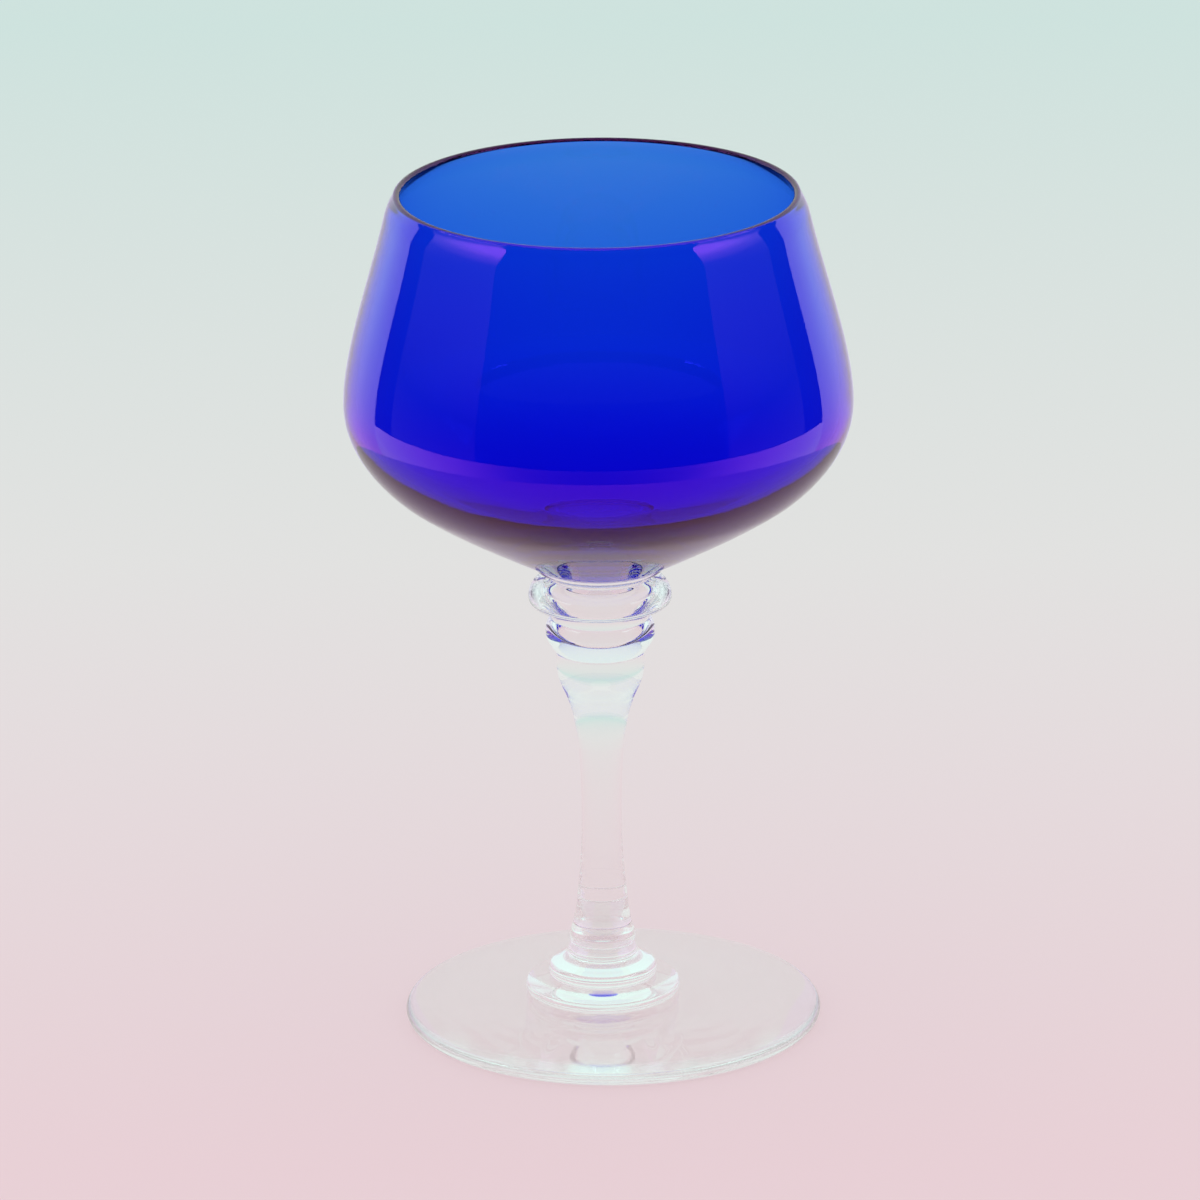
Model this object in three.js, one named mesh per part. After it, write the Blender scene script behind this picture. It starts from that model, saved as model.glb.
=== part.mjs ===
// A stemmed gin glass in millimetres, +Z up: blown cobalt blue bowl, clear ringed stem and clear stepped foot.
// Each piece is a turned solid. It stands on the flat top of the piece below, as fused gathers of glass do.
import * as THREE from 'three';

// Heights of the pieces, from the table up
const FOOT_HEIGHT = 4.4;
const LOWER_STEP_HEIGHT = 2.9;
const UPPER_STEP_HEIGHT = 6.5;
const POST_HEIGHT = 8.4;
const STEM_LENGTH = 45.2;
const LOWER_COLLAR_HEIGHT = 6.2;
const UPPER_COLLAR_HEIGHT = 9.6;
const BOWL_HEIGHT = 66.8;

// Radii of the fused joints, each shared by the piece above and the piece below
const BOWL_SEAT_RADIUS = 11.2;
const COLLAR_GROOVE_RADIUS = 8.6;
const STEM_TOP_RADIUS = 7.75;
const WELD_RADIUS = 4.4;
const POST_SEAT_RADIUS = 5.6;
const STEP_SEAT_RADIUS = 9;

// Foot: a thin disc, hollowed below so that it stands on a flat ring, and set a little off the stem's axis
const FOOT_RADIUS = 36.45;
const FOOT_EDGE_THICKNESS = 2.3;
const FOOT_REST_WIDTH = 6;
const FOOT_HOLLOW_DEPTH = 0.9;
const FOOT_OFFSET = 1.8;
const FOOT_SEAT_MARGIN = 2;

// Steps of the hub on the foot
const LOWER_STEP_RADIUS = 13.5;
const LOWER_STEP_ROUNDING = 0.7;
const UPPER_STEP_RADIUS = 9.5;
const UPPER_STEP_SHOULDER = 5;

// Post between the hub and the drawn rod, with a bead at its bottom
const POST_BEAD_RADIUS = 5.8;
const POST_BEAD_HEIGHT = 1.2;

// Stem: a drawn rod with a thin waist and a trumpet shaped top
const STEM_WAIST_RADIUS = 3.49;
const STEM_WAIST_HEIGHT = 16;
const STEM_TOP_BAND = 1.6;

// Rings under the bowl
const LOWER_COLLAR_RADIUS = 9.5;
const LOWER_COLLAR_FULLNESS = 0.8;
const UPPER_COLLAR_RADIUS = 12.45;
const UPPER_COLLAR_UNDERSIDE = 2.3;
const UPPER_COLLAR_WIDEST = 3.6;
const NECK_RADIUS = 8.9;
const NECK_HEIGHT = 2.1;
const FLANGE_THICKNESS = 0.5;

// Bowl: cone at the bottom, belly, wall that leans in to the rim
const CONE_TOP_RADIUS = 34;
const CONE_TOP_HEIGHT = 13.3;
const CONE_TOP_SLOPE = 35.6;
const BELLY_RADIUS = 44;
const BELLY_HEIGHT = 29.3;
const LIP_RADIUS = 36.56;
const LIP_HEIGHT = 62.3;
const LIP_LEAN = 12.6;
const RIM_RADIUS = 34.3;
const RIM_THICKNESS = 1.36;
const BELLY_WALL = 2.1;
const CONE_WALL = 5.5;
const BOWL_FLOOR = 4.2;

// Fineness of the turned surfaces
const AROUND = 40;
const FINE = 8;
const COARSE = 5;

const COBALT = { color: 0x1a2ed8, roughness: 0.04, metalness: 0 };
const CLEAR = { color: 0xdde5e2, roughness: 0.04, metalness: 0 };

// A point of an outline: distance from the axis, height above the piece's own base.
const at = (radius, height) => new THREE.Vector2(radius, height);

const mix = (from, to, share) => from + (to - from) * share;

function bend(start, pull, end, steps = COARSE) {
  return new THREE.QuadraticBezierCurve(start, pull, end).getPoints(steps);
}

function sweep(start, startPull, endPull, end, steps = COARSE) {
  return new THREE.CubicBezierCurve(start, startPull, endPull, end).getPoints(steps);
}

// Joins points and curves into one outline. A point that repeats the one before it is left out.
function outline(...stretches) {
  const points = stretches.flat();
  return points.filter((point, index) => index === 0 || point.distanceTo(points[index - 1]) > 1e-6);
}

// A solid of revolution about Z. Its outline runs from the axis at the bottom, up the outside, to the axis.
function turned(name, points, finish, baseHeight) {
  const geometry = new THREE.LatheGeometry(points, AROUND).rotateX(Math.PI / 2);
  const mesh = new THREE.Mesh(geometry, new THREE.MeshStandardMaterial(finish));
  mesh.name = name;
  mesh.position.z = baseHeight;
  return mesh;
}

const lowerStepBaseRadius = LOWER_STEP_RADIUS - LOWER_STEP_ROUNDING;

function footOutline() {
  const edge = FOOT_EDGE_THICKNESS / 2;
  const restOuter = FOOT_RADIUS - edge;
  const restInner = restOuter - FOOT_REST_WIDTH;
  const seatRadius = lowerStepBaseRadius + FOOT_OFFSET + FOOT_SEAT_MARGIN;
  const roundEdge = new THREE.EllipseCurve(restOuter, edge, edge, edge, -Math.PI / 2, Math.PI / 2);
  return outline(
    bend(at(0, FOOT_HOLLOW_DEPTH), at(restInner / 2, FOOT_HOLLOW_DEPTH), at(restInner, 0)),
    roundEdge.getPoints(FINE),
    at(seatRadius, FOOT_HEIGHT),
    at(0, FOOT_HEIGHT),
  );
}

function lowerStepOutline() {
  const widest = LOWER_STEP_HEIGHT * 0.45;
  const overhang = LOWER_STEP_RADIUS - STEP_SEAT_RADIUS;
  return outline(
    at(0, 0),
    bend(at(lowerStepBaseRadius, 0), at(LOWER_STEP_RADIUS, 0), at(LOWER_STEP_RADIUS, widest)),
    sweep(
      at(LOWER_STEP_RADIUS, widest),
      at(LOWER_STEP_RADIUS, LOWER_STEP_HEIGHT * 0.85),
      at(LOWER_STEP_RADIUS - overhang * 0.45, LOWER_STEP_HEIGHT),
      at(STEP_SEAT_RADIUS, LOWER_STEP_HEIGHT),
    ),
    at(0, LOWER_STEP_HEIGHT),
  );
}

function upperStepOutline() {
  const widest = UPPER_STEP_SHOULDER * 0.27;
  const neckRadius = mix(POST_SEAT_RADIUS, UPPER_STEP_RADIUS, 0.09);
  return outline(
    at(0, 0),
    bend(at(STEP_SEAT_RADIUS, 0), at(UPPER_STEP_RADIUS, 0), at(UPPER_STEP_RADIUS, widest)),
    sweep(
      at(UPPER_STEP_RADIUS, widest),
      at(UPPER_STEP_RADIUS, UPPER_STEP_SHOULDER * 0.62),
      at(neckRadius, UPPER_STEP_SHOULDER * 0.64),
      at(neckRadius, UPPER_STEP_SHOULDER),
      FINE,
    ),
    at(POST_SEAT_RADIUS, UPPER_STEP_HEIGHT),
    at(0, UPPER_STEP_HEIGHT),
  );
}

function postOutline() {
  const rise = POST_HEIGHT - POST_BEAD_HEIGHT;
  return outline(
    at(0, 0),
    bend(at(POST_SEAT_RADIUS, 0), at(POST_BEAD_RADIUS, 0), at(POST_BEAD_RADIUS, POST_BEAD_HEIGHT)),
    sweep(
      at(POST_BEAD_RADIUS, POST_BEAD_HEIGHT),
      at(POST_BEAD_RADIUS, POST_BEAD_HEIGHT + rise * 0.05),
      at(mix(WELD_RADIUS, POST_BEAD_RADIUS, 0.18), POST_BEAD_HEIGHT + rise * 0.38),
      at(WELD_RADIUS, POST_HEIGHT),
      FINE,
    ),
    at(0, POST_HEIGHT),
  );
}

function stemOutline() {
  const trumpetHeight = STEM_LENGTH - STEM_TOP_BAND;
  const trumpetRise = trumpetHeight - STEM_WAIST_HEIGHT;
  return outline(
    at(0, 0),
    sweep(
      at(WELD_RADIUS, 0),
      at(WELD_RADIUS, STEM_WAIST_HEIGHT * 0.1),
      at(STEM_WAIST_RADIUS, STEM_WAIST_HEIGHT * 0.29),
      at(STEM_WAIST_RADIUS, STEM_WAIST_HEIGHT),
      FINE,
    ),
    sweep(
      at(STEM_WAIST_RADIUS, STEM_WAIST_HEIGHT),
      at(STEM_WAIST_RADIUS, STEM_WAIST_HEIGHT + trumpetRise * 0.888),
      at(STEM_TOP_RADIUS, trumpetHeight - trumpetRise * 0.279),
      at(STEM_TOP_RADIUS, trumpetHeight),
      FINE,
    ),
    at(STEM_TOP_RADIUS, STEM_LENGTH),
    at(0, STEM_LENGTH),
  );
}

// The lower ring swells smoothly between its two joints.
function lowerCollarOutline() {
  const swell = LOWER_COLLAR_RADIUS - mix(STEM_TOP_RADIUS, COLLAR_GROOVE_RADIUS, 0.5);
  const steps = FINE * 2;
  const side = Array.from({ length: steps + 1 }, (_, step) => {
    const share = (1 - Math.cos((Math.PI * step) / steps)) / 2;
    const fullness = step % steps === 0 ? 0 : Math.sin(Math.PI * share) ** LOWER_COLLAR_FULLNESS;
    const radius = mix(STEM_TOP_RADIUS, COLLAR_GROOVE_RADIUS, share) + swell * fullness;
    return at(radius, LOWER_COLLAR_HEIGHT * share);
  });
  return outline(at(0, 0), side, at(0, LOWER_COLLAR_HEIGHT));
}

function upperCollarOutline() {
  const ringTop = UPPER_COLLAR_HEIGHT - NECK_HEIGHT;
  const flangeBase = UPPER_COLLAR_HEIGHT - FLANGE_THICKNESS;
  const reach = UPPER_COLLAR_RADIUS - COLLAR_GROOVE_RADIUS;
  const below = (share) => mix(UPPER_COLLAR_UNDERSIDE, UPPER_COLLAR_WIDEST, share);
  const above = (share) => mix(UPPER_COLLAR_WIDEST, ringTop, share);
  const groove = at(COLLAR_GROOVE_RADIUS, 0);
  const underside = at(COLLAR_GROOVE_RADIUS + reach * 0.2, UPPER_COLLAR_UNDERSIDE);
  const turn = at(COLLAR_GROOVE_RADIUS + reach * 0.62, below(0.1));
  const widest = at(UPPER_COLLAR_RADIUS, UPPER_COLLAR_WIDEST);
  const neck = at(NECK_RADIUS, ringTop);
  const flange = at(BOWL_SEAT_RADIUS, flangeBase);
  return outline(
    at(0, 0),
    bend(groove, at(COLLAR_GROOVE_RADIUS, UPPER_COLLAR_UNDERSIDE * 0.85), underside),
    sweep(turn, at(turn.x + reach * 0.28, below(0.2)), at(UPPER_COLLAR_RADIUS, below(0.5)), widest),
    sweep(
      widest,
      at(UPPER_COLLAR_RADIUS, above(0.55)),
      at(mix(NECK_RADIUS, UPPER_COLLAR_RADIUS, 0.62), above(0.95)),
      neck,
      FINE,
    ),
    bend(neck, at(NECK_RADIUS, mix(ringTop, flangeBase, 0.85)), flange),
    at(BOWL_SEAT_RADIUS, UPPER_COLLAR_HEIGHT),
    at(0, UPPER_COLLAR_HEIGHT),
  );
}

// The bowl's outside, from its seat up to where the rim's rounding starts.
function bowlOutside() {
  const seat = at(BOWL_SEAT_RADIUS, 0);
  const coneTop = at(CONE_TOP_RADIUS, CONE_TOP_HEIGHT);
  const belly = at(BELLY_RADIUS, BELLY_HEIGHT);
  const lip = at(LIP_RADIUS, LIP_HEIGHT);
  const rimBase = at(RIM_RADIUS + RIM_THICKNESS / 2, BOWL_HEIGHT - RIM_THICKNESS / 2);
  const slope = THREE.MathUtils.degToRad(CONE_TOP_SLOPE);
  const lean = THREE.MathUtils.degToRad(LIP_LEAN);
  const coneRun = at(Math.cos(slope), Math.sin(slope));
  const wallRun = at(-Math.sin(lean), Math.cos(lean));
  const along = (point, run, length) => point.clone().addScaledVector(run, length);
  const coneReach = coneTop.distanceTo(seat);
  const turnReach = coneTop.distanceTo(belly);
  const turnPull = at(belly.x, belly.y - turnReach * 0.39);
  const wallReach = belly.distanceTo(lip);
  const lipReach = lip.distanceTo(rimBase);
  const conePull = at(mix(seat.x, coneTop.x, 0.33), coneTop.y * 0.31);
  const rimPull = at(rimBase.x + lipReach * 0.17, rimBase.y - lipReach * 0.3);
  return outline(
    sweep(seat, conePull, along(coneTop, coneRun, -coneReach * 0.29), coneTop),
    sweep(coneTop, along(coneTop, coneRun, turnReach * 0.25), turnPull, belly, FINE),
    sweep(belly, at(belly.x, belly.y + wallReach * 0.27), along(lip, wallRun, -wallReach * 0.29), lip, FINE),
    sweep(lip, along(lip, wallRun, lipReach * 0.3), rimPull, rimBase),
  );
}

// Thickness of the bowl's wall at a height: even above the belly, heavier towards the floor.
function wallAt(height) {
  if (height > BELLY_HEIGHT) {
    return mix(BELLY_WALL, RIM_THICKNESS, (height - BELLY_HEIGHT) / (BOWL_HEIGHT - BELLY_HEIGHT));
  }
  return mix(BELLY_WALL, CONE_WALL, (1 - height / BELLY_HEIGHT) ** 2);
}

// The bowl's inside, from the rim down to the floor: the outside moved in by the wall's thickness.
function bowlInside(outside) {
  const inside = outside.map((point, index) => {
    const before = outside[Math.max(index - 1, 0)];
    const after = outside[Math.min(index + 1, outside.length - 1)];
    const run = after.clone().sub(before).normalize();
    return at(point.x - run.y * wallAt(point.y), point.y + run.x * wallAt(point.y));
  });
  const wall = inside.slice(2, -1).reverse();
  const last = wall[wall.length - 1];
  const floorRun = last.clone().sub(wall[wall.length - 2]).setLength(last.x * 0.4);
  const floor = sweep(last, last.clone().add(floorRun), at(last.x * 0.45, BOWL_FLOOR), at(0, BOWL_FLOOR));
  return outline(wall, floor);
}

function bowlOutline() {
  const outside = bowlOutside();
  const half = RIM_THICKNESS / 2;
  const rim = new THREE.EllipseCurve(RIM_RADIUS, BOWL_HEIGHT - half, half, half, 0, Math.PI);
  return outline(at(0, 0), outside, rim.getPoints(FINE), bowlInside(outside));
}

// The pieces from the table up. Each one's height over the table is the sum of those below it.
const stack = [
  ['foot', footOutline(), CLEAR, FOOT_HEIGHT],
  ['lower_foot_step', lowerStepOutline(), CLEAR, LOWER_STEP_HEIGHT],
  ['upper_foot_step', upperStepOutline(), CLEAR, UPPER_STEP_HEIGHT],
  ['foot_post', postOutline(), CLEAR, POST_HEIGHT],
  ['stem', stemOutline(), CLEAR, STEM_LENGTH],
  ['lower_collar', lowerCollarOutline(), CLEAR, LOWER_COLLAR_HEIGHT],
  ['upper_collar', upperCollarOutline(), CLEAR, UPPER_COLLAR_HEIGHT],
  ['bowl', bowlOutline(), COBALT, BOWL_HEIGHT],
];

const glass = new THREE.Group();
let baseHeight = 0;
for (const [name, points, finish, height] of stack) {
  glass.add(turned(name, points, finish, baseHeight));
  baseHeight += height;
}
glass.getObjectByName('foot').position.x = FOOT_OFFSET;

export default glass;
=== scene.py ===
"""A stemmed gin glass: cobalt blue bowl, clear ringed stem and stepped foot, on a pale graded floor."""
import math

import bmesh
import bpy
from mathutils import Matrix, Vector


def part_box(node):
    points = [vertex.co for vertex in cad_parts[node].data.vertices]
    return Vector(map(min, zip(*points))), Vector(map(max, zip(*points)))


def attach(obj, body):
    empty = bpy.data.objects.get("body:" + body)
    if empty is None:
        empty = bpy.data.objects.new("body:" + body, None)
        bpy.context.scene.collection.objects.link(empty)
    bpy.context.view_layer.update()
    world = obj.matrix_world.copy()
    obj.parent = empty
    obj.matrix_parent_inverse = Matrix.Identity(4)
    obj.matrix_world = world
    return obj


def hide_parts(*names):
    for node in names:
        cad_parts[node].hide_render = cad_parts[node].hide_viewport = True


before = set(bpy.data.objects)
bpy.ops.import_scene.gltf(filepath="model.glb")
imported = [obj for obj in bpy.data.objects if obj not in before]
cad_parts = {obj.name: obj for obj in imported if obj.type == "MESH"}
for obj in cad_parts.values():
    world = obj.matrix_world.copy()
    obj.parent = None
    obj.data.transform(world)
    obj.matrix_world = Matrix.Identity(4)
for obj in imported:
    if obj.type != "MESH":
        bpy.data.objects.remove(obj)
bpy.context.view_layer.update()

MM = 0.001

# Clear pieces from the table up. Each is fused to the next one by a flat joint.
CLEAR_STACK = ["foot", "lower_foot_step", "upper_foot_step", "foot_post", "stem", "lower_collar", "upper_collar"]
BOWL = "bowl"

# Fineness of the turned surfaces
CLEAR_AROUND = 320
BOWL_AROUND = 240
STEPS_PER_FACET = 5
SMOOTHING_PASSES = 12
CREASE = math.radians(33)

# How far the clear neck reaches into the bowl's glass, so that no air lies between the two
NECK_BITE = 0.05 * MM

# Limits in metres: points this near are one point, edges this short are none, points this near lie on the axis
SAME_POINT = 1e-7
NO_LENGTH = 1e-8
ON_AXIS = 1e-6

# A face belongs to a joint if it is this level and this near to the joint's height
JOINT_LEVEL = 0.999
JOINT_REACH = 1e-6

# Glass. Mark depths are in metres. Scales count noise cells in a metre.
CLEAR_COLOUR = (0.985, 1, 0.99)
CLEAR_IOR = 1.51
CLEAR_MARK_DEPTH = 0.4e-6
COBALT_SURFACE = (1, 1, 1)
COBALT_IOR = 1.59
COBALT_MARK_DEPTH = 8e-6
COBALT_SHEEN = (1, 0.12, 1)
COBALT_STAIN = (0.0, 0.5, 0.983)
COBALT_STAIN_DENSITY = 1900
MARK_SCALE = 420
WAVER_SCALE = 30
WAVER_REACH = 0.003
SMEAR_SCALE = 55
SMEAR_ROUGHNESS = 0.015
SCRATCH_SCALE = 2500
WORN_HEIGHT = 0.1 * MM
WORN_ROUGHNESS = 0.12

# How often light is followed through the glass
LIGHT_BOUNCES = 40
SHINE_BOUNCES = 24
JOINT_PASSES = 64

# Camera, fitted to the rim's and the foot's ellipses in the photograph. Its roll stands in for the real glass's lean.
PHOTO_SIZE = 1200
CAMERA_ELEVATION = math.radians(18.56)
CAMERA_DISTANCE = 1540 * MM
CAMERA_AIM = Vector((0, 0, 76.4 * MM))
CAMERA_FOCAL_PIXELS = 8879
CAMERA_ROLL = math.radians(-0.45)
CAMERA_REACH = 50
SENSOR_WIDTH = 36

# Floor and surroundings
FLOOR_SIZE = 12
FLOOR_GAP = 0.1 * MM
FLOOR_PINK = (0.865, 0.650, 0.695)
FLOOR_ROSE = (0.835, 0.715, 0.740)
FLOOR_GREY = (0.805, 0.770, 0.770)
FLOOR_MINT = (0.655, 0.775, 0.750)
FLOOR_FAR = (0.79, 0.81, 0.805)
FLOOR_FRONT = -0.15
FLOOR_BACK = 1.65
FLOOR_STOPS = [(0.045, FLOOR_PINK), (0.145, FLOOR_ROSE), (0.225, FLOOR_GREY), (0.46, FLOOR_MINT), (1, FLOOR_FAR)]
FLOOR_GLOW = 0.72
PAPER_ROUGHNESS = 0.9
PAPER_SHINE = 0.1
HORIZON_COLOUR = (0.80, 0.82, 0.81)
OVERHEAD_COLOUR = (0.80, 0.97, 0.92)
SKY_STOPS = [(0.1, HORIZON_COLOUR), (0.6, OVERHEAD_COLOUR)]

# Surroundings that only reflections see: curved panels round the glass, lit as given at each height in mm,
# apart from the skirt, which is lit as given at each depth in mm, from the camera's side to the back.
# Azimuths count from the camera's side, to the right.
PANEL_RADIUS = 260 * MM
PANEL_TOP = 420 * MM
PANEL_STEPS = 60
SCREEN_HALF_ANGLE = 111
SCREEN_LIGHT = [(64, (0.04, 0.03, 0.05)), (125, (0.03, 0.03, 0.05)), (420, (0.01, 0.01, 0.02))]
SKIRT_TOP = 64
SKIRT_LIGHT = [(-260, (0.20, 0.18, 0.22)), (-210, (0.46, 0.41, 0.5)), (-170, (0.9, 0.8, 0.95)),
               (-114, (1.4, 1.25, 1.5)), (-45, (1.6, 1.45, 1.7)), (93, (1.5, 1.35, 1.6))]
LAMP_WINDOWS = [(-98, -52), (55, 97)]
LAMP_BOTTOM = 205
LAMP_TOP = 320
WINDOW_LIGHT = [(64, (0.16, 0.20, 0.28)), (125, (0.07, 0.10, 0.14)), (205, (0.25, 0.40, 0.42))]
LAMP_LIGHT = [(205, (0.25, 0.40, 0.42)), (240, (1.0, 1.6, 1.6)), (275, (2.8, 4.4, 4.4)), (320, (2.8, 4.4, 4.4))]
SIDE_END_ANGLE = 166
SIDE_LIGHT = [(0, (1.45, 0.8, 1.35)), (35, (1.4, 0.85, 1.4)), (75, (1.15, 1.15, 1.5)), (115, (1.05, 1.5, 1.7)),
              (420, (1.05, 1.5, 1.7))]
SIDE_FADE = (165 * MM, 240 * MM)
BACKDROP_LIGHT = (0.86, 0.82, 1.05)


def meridian(node):
    """The node's axis and its outline as (radius, height) points, from the bottom of the axis to its top."""
    low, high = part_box(node)
    axis_x = (low.x + high.x) / 2
    mesh = bmesh.new()
    mesh.from_mesh(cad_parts[node].data)
    bmesh.ops.remove_doubles(mesh, verts=mesh.verts, dist=SAME_POINT)
    on_meridian = {v for v in mesh.verts if abs(v.co.x - axis_x) < ON_AXIS and v.co.y < ON_AXIS}
    poles = [v for v in on_meridian if v.co.y > -ON_AXIS]
    walk = [min(poles, key=lambda v: v.co.z)]
    ahead = walk
    while ahead:
        ahead = [e.other_vert(walk[-1]) for e in walk[-1].link_edges]
        ahead = [v for v in ahead if v in on_meridian and v not in walk]
        walk += ahead[:1]
    outline = [Vector((abs(v.co.y), v.co.z)) for v in walk]
    mesh.free()
    return axis_x, outline


def smooth_run(points):
    """A smooth curve along the points. It turns evenly, apart from the creases, which stay where they are."""
    ends = [points[0] * 2 - points[1]] + points + [points[-1] * 2 - points[-2]]
    run = []
    for p0, p1, p2, p3 in zip(ends, ends[1:], ends[2:], ends[3:]):
        t0 = 0
        t1 = t0 + math.sqrt((p1 - p0).length)
        t2 = t1 + math.sqrt((p2 - p1).length)
        t3 = t2 + math.sqrt((p3 - p2).length)
        for step in range(STEPS_PER_FACET):
            t = t1 + (t2 - t1) * step / STEPS_PER_FACET
            a1 = p0 * ((t1 - t) / (t1 - t0)) + p1 * ((t - t0) / (t1 - t0))
            a2 = p1 * ((t2 - t) / (t2 - t1)) + p2 * ((t - t1) / (t2 - t1))
            a3 = p2 * ((t3 - t) / (t3 - t2)) + p3 * ((t - t2) / (t3 - t2))
            b1 = a1 * ((t2 - t) / (t2 - t0)) + a2 * ((t - t0) / (t2 - t0))
            b2 = a2 * ((t3 - t) / (t3 - t1)) + a3 * ((t - t1) / (t3 - t1))
            run.append(b1 * ((t2 - t) / (t2 - t1)) + b2 * ((t - t1) / (t2 - t1)))
    run.append(points[-1])
    held = {0, len(run) - 1}
    for place in range(1, len(points) - 1):
        turn = (points[place] - points[place - 1]).angle(points[place + 1] - points[place])
        if turn > CREASE:
            held.add(place * STEPS_PER_FACET)
    for _ in range(SMOOTHING_PASSES):
        eased = [run[0]] + [(a + p * 2 + b) / 4 for a, p, b in zip(run, run[1:], run[2:])] + [run[-1]]
        run = [p if place in held else q for place, (p, q) in enumerate(zip(run, eased))]
    return run


def math_node(nodes, links, operation, *values):
    """A Math node's result. Each value is a number or another node's output."""
    node = nodes.new("ShaderNodeMath")
    node.operation = operation
    for socket, value in zip(node.inputs, values):
        if isinstance(value, (int, float)):
            socket.default_value = value
        else:
            links.new(value, socket)
    return node.outputs[0]


def turning_tree():
    """Geometry Nodes: turns the outline held by the object's own mesh about an upright axis."""
    tree = bpy.data.node_groups.new("turned_glass", "GeometryNodeTree")
    face = tree.interface
    face.new_socket("Geometry", in_out="INPUT", socket_type="NodeSocketGeometry")
    face.new_socket("Rings", in_out="INPUT", socket_type="NodeSocketInt")
    face.new_socket("Around", in_out="INPUT", socket_type="NodeSocketInt")
    face.new_socket("Glass", in_out="INPUT", socket_type="NodeSocketMaterial")
    face.new_socket("Geometry", in_out="OUTPUT", socket_type="NodeSocketGeometry")
    nodes, links = tree.nodes, tree.links
    given = nodes.new("NodeGroupInput")
    result = nodes.new("NodeGroupOutput")

    def reckon(operation, *values):
        return math_node(nodes, links, operation, *values)

    # A flat grid: one row for each point of the outline, one column for each step around
    grid = nodes.new("GeometryNodeMeshGrid")
    links.new(reckon("ADD", given.outputs["Around"], 1), grid.inputs["Vertices X"])
    links.new(given.outputs["Rings"], grid.inputs["Vertices Y"])
    index = nodes.new("GeometryNodeInputIndex").outputs[0]
    column = reckon("FLOOR", reckon("DIVIDE", reckon("ADD", index, 0.5), given.outputs["Rings"]))
    row = reckon("SUBTRACT", index, reckon("MULTIPLY", column, given.outputs["Rings"]))
    angle = reckon("MULTIPLY", reckon("DIVIDE", column, given.outputs["Around"]), 2 * math.pi)

    # Each grid point takes its radius and height from the outline's point of that row
    position = nodes.new("GeometryNodeInputPosition")
    sample = nodes.new("GeometryNodeSampleIndex")
    sample.data_type = "FLOAT_VECTOR"
    links.new(given.outputs["Geometry"], sample.inputs["Geometry"])
    links.new(position.outputs[0], sample.inputs["Value"])
    links.new(row, sample.inputs["Index"])
    split = nodes.new("ShaderNodeSeparateXYZ")
    links.new(sample.outputs[0], split.inputs[0])
    place = nodes.new("ShaderNodeCombineXYZ")
    across = reckon("MULTIPLY", split.outputs["X"], reckon("SINE", angle))
    deep = reckon("MULTIPLY", split.outputs["X"], reckon("MULTIPLY", reckon("COSINE", angle), -1))
    links.new(reckon("ADD", across, split.outputs["Y"]), place.inputs["X"])
    links.new(deep, place.inputs["Y"])
    links.new(split.outputs["Z"], place.inputs["Z"])
    moved = nodes.new("GeometryNodeSetPosition")
    links.new(grid.outputs["Mesh"], moved.inputs["Geometry"])
    links.new(place.outputs[0], moved.inputs["Position"])

    # The two ends of the turn and the points on the axis are welded
    weld = nodes.new("GeometryNodeMergeByDistance")
    weld.inputs["Distance"].default_value = SAME_POINT
    links.new(moved.outputs[0], weld.inputs["Geometry"])
    shade = nodes.new("GeometryNodeSetShadeSmooth")
    links.new(weld.outputs[0], shade.inputs["Geometry"])
    realize = nodes.new("GeometryNodeRealizeInstances")
    links.new(shade.outputs[0], realize.inputs[0])
    paint = nodes.new("GeometryNodeSetMaterial")
    links.new(realize.outputs[0], paint.inputs["Geometry"])
    links.new(given.outputs["Glass"], paint.inputs["Material"])
    links.new(paint.outputs[0], result.inputs[0])
    return tree


def turned(name, tree, outline, shifts, around, glass):
    """A closed turned piece. Each outline point has its own sideways shift of the axis."""
    seed = bpy.data.meshes.new(name + "_outline")
    seed.from_pydata([(p.x, shift, p.y) for p, shift in zip(outline, shifts)], [], [])
    maker = bpy.data.objects.new(name + "_maker", seed)
    bpy.context.scene.collection.objects.link(maker)
    modifier = maker.modifiers.new("turn", "NODES")
    modifier.node_group = tree
    sockets = {item.name: item.identifier for item in tree.interface.items_tree if item.in_out == "INPUT"}
    modifier[sockets["Rings"]] = len(outline)
    modifier[sockets["Around"]] = around
    modifier[sockets["Glass"]] = glass
    ready = maker.evaluated_get(bpy.context.evaluated_depsgraph_get())
    mesh = bpy.data.meshes.new_from_object(ready)
    bpy.data.objects.remove(maker)
    bpy.data.meshes.remove(seed)
    shape = bmesh.new()
    shape.from_mesh(mesh)
    bmesh.ops.dissolve_degenerate(shape, edges=shape.edges, dist=NO_LENGTH)
    bmesh.ops.recalc_face_normals(shape, faces=shape.faces)
    shape.to_mesh(mesh)
    shape.free()
    mesh.name = name
    mesh.materials.clear()
    mesh.materials.append(glass)
    mesh.polygons.foreach_set("material_index", [0] * len(mesh.polygons))
    piece = bpy.data.objects.new(name, mesh)
    bpy.context.scene.collection.objects.link(piece)
    return piece


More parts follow.
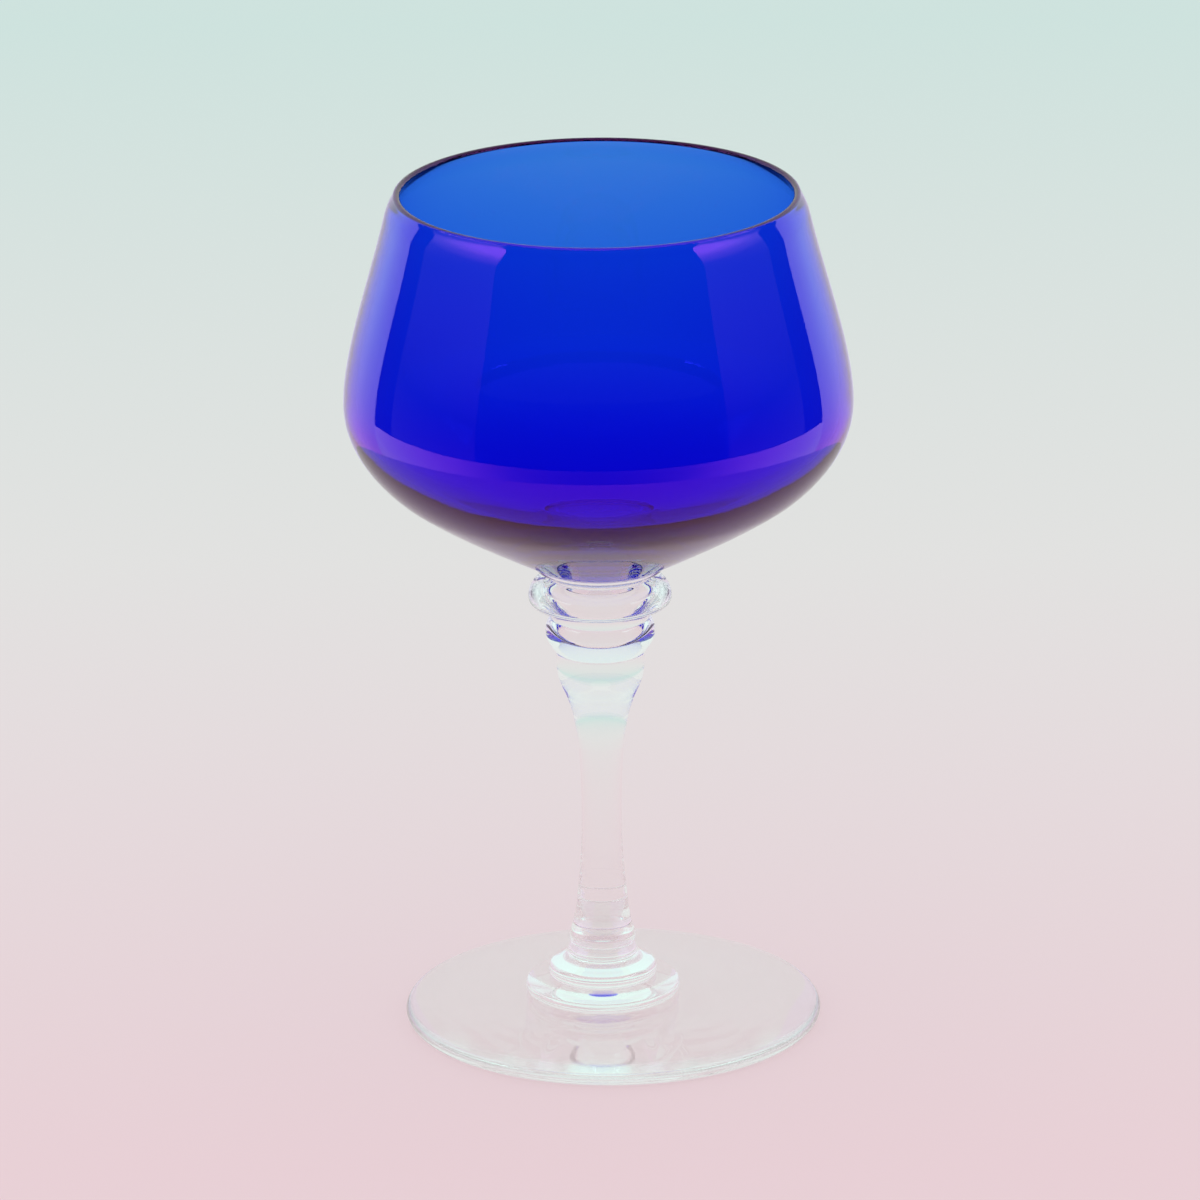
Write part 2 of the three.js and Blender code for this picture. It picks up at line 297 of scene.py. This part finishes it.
def clear_piece(node, tree, glass, joint):
    """A clear gather of glass. Its flat joints carry the joint material, which light passes unbent."""
    axis_x, points = meridian(node)
    low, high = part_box(node)
    lowest = node == CLEAR_STACK[0]
    topmost = node == CLEAR_STACK[-1]
    side = points[:-1] if lowest else points[1:-1]
    outline = [Vector((p.x, max(p.y, low.z))) for p in smooth_run(side)]
    shifts = [axis_x] * len(outline)
    if lowest:
        # The foot sits to one side. Its joint has the radius and the axis of the piece above it.
        seat = meridian(CLEAR_STACK[1])[1][1]
        outline += [seat, Vector((0, high.z))]
        shifts += [0, 0]
    else:
        outline = [points[0]] + outline + [points[-1]]
        shifts = [axis_x] * len(outline)
    if topmost:
        outline[-2:] = [p + Vector((0, NECK_BITE)) for p in outline[-2:]]
    piece = turned(node + "_glass", tree, outline, shifts, CLEAR_AROUND, glass)
    piece.data.materials.append(joint)
    joint_heights = [z for z, at_end in ((low.z, lowest), (high.z, topmost)) if not at_end]
    joint_radius = outline[-2].x if lowest else math.inf
    for face in piece.data.polygons:
        level = abs(face.normal.z) > JOINT_LEVEL
        inside = face.center.xy.length < joint_radius
        if level and inside and any(abs(face.center.z - z) < JOINT_REACH for z in joint_heights):
            face.material_index = 1
    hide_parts(node)
    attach(piece, "root")


def bowl_piece(tree, glass):
    """The blown bowl. Its outline goes up the outside, over the rim and down the inside."""
    axis_x, points = meridian(BOWL)
    outline = [points[0]] + smooth_run(points[1:])
    piece = turned("bowl_glass", tree, outline, [axis_x] * len(outline), BOWL_AROUND, glass)
    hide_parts(BOWL)
    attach(piece, "root")


def new_material(name):
    material = bpy.data.materials.new(name)
    material.use_nodes = True
    nodes = material.node_tree.nodes
    return material, nodes, material.node_tree.links, nodes["Principled BSDF"], nodes["Material Output"]


def map_range(nodes, links, value, low, high, to_low, to_high):
    node = nodes.new("ShaderNodeMapRange")
    for name, number in (("From Min", low), ("From Max", high), ("To Min", to_low), ("To Max", to_high)):
        node.inputs[name].default_value = number
    links.new(value, node.inputs["Value"])
    return node.outputs["Result"]


def noise(nodes, links, vector, scale, detail):
    node = nodes.new("ShaderNodeTexNoise")
    node.inputs["Scale"].default_value = scale
    node.inputs["Detail"].default_value = detail
    links.new(vector, node.inputs["Vector"])
    return node.outputs["Fac"]


def turning_marks(nodes, links, place):
    """Fine rings left by turning the hot glass: they follow radius and height, and waver a little around."""
    split = nodes.new("ShaderNodeSeparateXYZ")
    links.new(place, split.inputs[0])
    flat = nodes.new("ShaderNodeVectorMath")
    flat.operation = "MULTIPLY"
    flat.inputs[1].default_value = (1, 1, 0)
    links.new(place, flat.inputs[0])
    radius = nodes.new("ShaderNodeVectorMath")
    radius.operation = "LENGTH"
    links.new(flat.outputs[0], radius.inputs[0])
    waver = map_range(nodes, links, noise(nodes, links, place, WAVER_SCALE, 1), 0, 1, 0, WAVER_REACH)
    join = nodes.new("ShaderNodeCombineXYZ")
    links.new(radius.outputs["Value"], join.inputs["X"])
    links.new(split.outputs["Z"], join.inputs["Y"])
    links.new(waver, join.inputs["Z"])
    return noise(nodes, links, join.outputs[0], MARK_SCALE, 3)


def glass_surface(material, colour, ior, mark_depth):
    """Polished glass: turning marks in its bump, faint handling smears and a worn standing ring in its roughness."""
    nodes, links = material.node_tree.nodes, material.node_tree.links
    shader = nodes["Principled BSDF"]
    shader.inputs["Base Color"].default_value = (*colour, 1)
    shader.inputs["IOR"].default_value = ior
    shader.inputs["Transmission Weight"].default_value = 1
    place = nodes.new("ShaderNodeTexCoord").outputs["Object"]
    bump = nodes.new("ShaderNodeBump")
    bump.inputs["Distance"].default_value = mark_depth
    links.new(turning_marks(nodes, links, place), bump.inputs["Height"])
    links.new(bump.outputs["Normal"], shader.inputs["Normal"])
    smears = map_range(nodes, links, noise(nodes, links, place, SMEAR_SCALE, 4), 0.5, 0.8, 0, SMEAR_ROUGHNESS)
    split = nodes.new("ShaderNodeSeparateXYZ")
    links.new(place, split.inputs[0])
    worn = map_range(nodes, links, split.outputs["Z"], 0, WORN_HEIGHT, WORN_ROUGHNESS, 0)
    scratches = map_range(nodes, links, noise(nodes, links, place, SCRATCH_SCALE, 3), 0.4, 0.6, 0.6, 1)
    wear = math_node(nodes, links, "MULTIPLY_ADD", worn, scratches, smears)
    links.new(wear, shader.inputs["Roughness"])


def clear_glass():
    material = new_material("polished_clear_glass")[0]
    glass_surface(material, CLEAR_COLOUR, CLEAR_IOR, CLEAR_MARK_DEPTH)
    return material


def cobalt_glass():
    """Cobalt glass: its stain deepens with the wall's thickness, and its surface shines violet."""
    material, nodes, links, shader, output = new_material("polished_cobalt_glass")
    glass_surface(material, COBALT_SURFACE, COBALT_IOR, COBALT_MARK_DEPTH)
    shader.inputs["Specular Tint"].default_value = (*COBALT_SHEEN, 1)
    stain = nodes.new("ShaderNodeVolumeAbsorption")
    stain.inputs["Color"].default_value = (*COBALT_STAIN, 1)
    stain.inputs["Density"].default_value = COBALT_STAIN_DENSITY
    links.new(stain.outputs[0], output.inputs["Volume"])
    return material


def joint_material():
    """Fused glass has no surface at a joint, so light goes through it unbent."""
    material, nodes, links, shader, output = new_material("fused_joint")
    nodes.remove(shader)
    through = nodes.new("ShaderNodeBsdfTransparent")
    links.new(through.outputs[0], output.inputs["Surface"])
    return material


def colour_ramp(nodes, stops):
    ramp = nodes.new("ShaderNodeValToRGB")
    elements = ramp.color_ramp.elements
    while len(elements) < len(stops):
        elements.new(0.5)
    for element, (place, colour) in zip(elements, stops):
        element.position = place
        element.color = (*colour, 1)
    return ramp


def make_floor():
    """Pale paper that goes from pink in front to mint at the back, with the glass's soft shadow on it."""
    bpy.ops.mesh.primitive_plane_add(size=FLOOR_SIZE, location=(0, 0, -FLOOR_GAP))
    floor = bpy.context.object
    floor.name = "floor"
    material, nodes, links, shader, output = new_material("paper")
    shader.inputs["Roughness"].default_value = PAPER_ROUGHNESS
    shader.inputs["Specular IOR Level"].default_value = PAPER_SHINE
    place = nodes.new("ShaderNodeTexCoord")
    split = nodes.new("ShaderNodeSeparateXYZ")
    links.new(place.outputs["Object"], split.inputs[0])
    ramp = colour_ramp(nodes, FLOOR_STOPS)
    links.new(map_range(nodes, links, split.outputs["Y"], FLOOR_FRONT, FLOOR_BACK, 0, 1), ramp.inputs["Fac"])
    links.new(ramp.outputs["Color"], shader.inputs["Base Color"])
    glow = nodes.new("ShaderNodeEmission")
    links.new(ramp.outputs["Color"], glow.inputs["Color"])
    seen = nodes.new("ShaderNodeLightPath").outputs
    in_glass = math_node(nodes, links, "MAXIMUM", seen["Is Glossy Ray"], seen["Is Transmission Ray"])
    looked_at = math_node(nodes, links, "MAXIMUM", seen["Is Camera Ray"], in_glass)
    share = math_node(nodes, links, "MULTIPLY", looked_at, FLOOR_GLOW)
    blend = nodes.new("ShaderNodeMixShader")
    links.new(share, blend.inputs["Fac"])
    links.new(shader.outputs[0], blend.inputs[1])
    links.new(glow.outputs[0], blend.inputs[2])
    links.new(blend.outputs[0], output.inputs["Surface"])
    floor.data.materials.append(material)


def reflected_panel(name, first_angle, last_angle, bottom, top, light, along="Z"):
    """A curved upright panel that only reflections see. light gives its glow as (mm, colour) stops along an axis."""
    verts = []
    for step in range(PANEL_STEPS + 1):
        angle = math.radians(first_angle + (last_angle - first_angle) * step / PANEL_STEPS)
        verts += [(PANEL_RADIUS * math.sin(angle), -PANEL_RADIUS * math.cos(angle), z) for z in (bottom, top)]
    faces = [(2 * i, 2 * i + 2, 2 * i + 3, 2 * i + 1) for i in range(PANEL_STEPS)]
    mesh = bpy.data.meshes.new(name)
    mesh.from_pydata(verts, [], faces)
    panel = bpy.data.objects.new(name, mesh)
    bpy.context.scene.collection.objects.link(panel)
    material, nodes, links, shader, output = new_material(name)
    position = nodes.new("ShaderNodeTexCoord")
    split = nodes.new("ShaderNodeSeparateXYZ")
    links.new(position.outputs["Object"], split.inputs[0])
    start, end = light[0][0], light[-1][0]
    ramp = colour_ramp(nodes, [((place - start) / (end - start), colour) for place, colour in light])
    links.new(map_range(nodes, links, split.outputs[along], start * MM, end * MM, 0, 1), ramp.inputs["Fac"])
    fade = nodes.new("ShaderNodeMix")
    fade.data_type = "RGBA"
    links.new(map_range(nodes, links, split.outputs["Y"], *SIDE_FADE, 0, 1), fade.inputs["Factor"])
    links.new(ramp.outputs["Color"], fade.inputs["A"])
    fade.inputs["B"].default_value = (*BACKDROP_LIGHT, 1)
    glow = nodes.new("ShaderNodeEmission")
    links.new(fade.outputs["Result"], glow.inputs["Color"])
    links.new(glow.outputs[0], output.inputs["Surface"])
    nodes.remove(shader)
    mesh.materials.append(material)
    panel.visible_camera = False
    panel.visible_diffuse = False
    panel.visible_transmission = False
    panel.visible_volume_scatter = False
    panel.visible_shadow = False


def make_reflections():
    """A dark screen in front with two lamps above it and a pale skirt below, and bright sides, open at the back."""
    edges = [-SCREEN_HALF_ANGLE] + [angle for window in LAMP_WINDOWS for angle in window] + [SCREEN_HALF_ANGLE]
    for number, (first, last) in enumerate(zip(edges, edges[1:])):
        window = (first, last) in LAMP_WINDOWS
        top = LAMP_BOTTOM * MM if window else PANEL_TOP
        light = WINDOW_LIGHT if window else SCREEN_LIGHT
        reflected_panel("dark_screen_%d" % number, first, last, SKIRT_TOP * MM, top, light)
        if window:
            reflected_panel("lamp_%d" % number, first, last, top, LAMP_TOP * MM, LAMP_LIGHT)
            reflected_panel("dark_top_%d" % number, first, last, LAMP_TOP * MM, PANEL_TOP, SCREEN_LIGHT)
    reflected_panel("skirt", -SCREEN_HALF_ANGLE, SCREEN_HALF_ANGLE, 0, SKIRT_TOP * MM, SKIRT_LIGHT, "Y")
    reflected_panel("left_panel", -SIDE_END_ANGLE, -SCREEN_HALF_ANGLE, 0, PANEL_TOP, SIDE_LIGHT)
    reflected_panel("right_panel", SCREEN_HALF_ANGLE, SIDE_END_ANGLE, 0, PANEL_TOP, SIDE_LIGHT)


def make_world():
    """Soft light from all round, grey at the horizon and mint overhead."""
    world = bpy.data.worlds.new("studio")
    bpy.context.scene.world = world
    world.use_nodes = True
    nodes, links = world.node_tree.nodes, world.node_tree.links
    place = nodes.new("ShaderNodeTexCoord")
    split = nodes.new("ShaderNodeSeparateXYZ")
    links.new(place.outputs["Generated"], split.inputs[0])
    ramp = colour_ramp(nodes, SKY_STOPS)
    links.new(split.outputs["Z"], ramp.inputs["Fac"])
    links.new(ramp.outputs["Color"], nodes["Background"].inputs["Color"])
    nodes["Background"].inputs["Strength"].default_value = 1


def make_camera():
    lens = bpy.data.cameras.new("camera")
    lens.sensor_width = SENSOR_WIDTH
    lens.lens = CAMERA_FOCAL_PIXELS / PHOTO_SIZE * SENSOR_WIDTH
    lens.clip_end = CAMERA_REACH
    camera = bpy.data.objects.new("camera", lens)
    away = Vector((0, -math.cos(CAMERA_ELEVATION), math.sin(CAMERA_ELEVATION)))
    tilt = Matrix.Rotation(math.pi / 2 - CAMERA_ELEVATION, 4, "X") @ Matrix.Rotation(CAMERA_ROLL, 4, "Z")
    camera.matrix_world = Matrix.Translation(CAMERA_AIM + away * CAMERA_DISTANCE) @ tilt
    bpy.context.scene.collection.objects.link(camera)
    bpy.context.scene.camera = camera


scene = bpy.context.scene
scene.view_settings.view_transform = "Standard"
scene.cycles.max_bounces = LIGHT_BOUNCES
scene.cycles.transmission_bounces = LIGHT_BOUNCES
scene.cycles.glossy_bounces = SHINE_BOUNCES
scene.cycles.transparent_max_bounces = JOINT_PASSES
make_camera()
make_world()
make_floor()
make_reflections()
tree = turning_tree()
clear = clear_glass()
joint = joint_material()
for node in CLEAR_STACK:
    clear_piece(node, tree, clear, joint)
bowl_piece(tree, cobalt_glass())
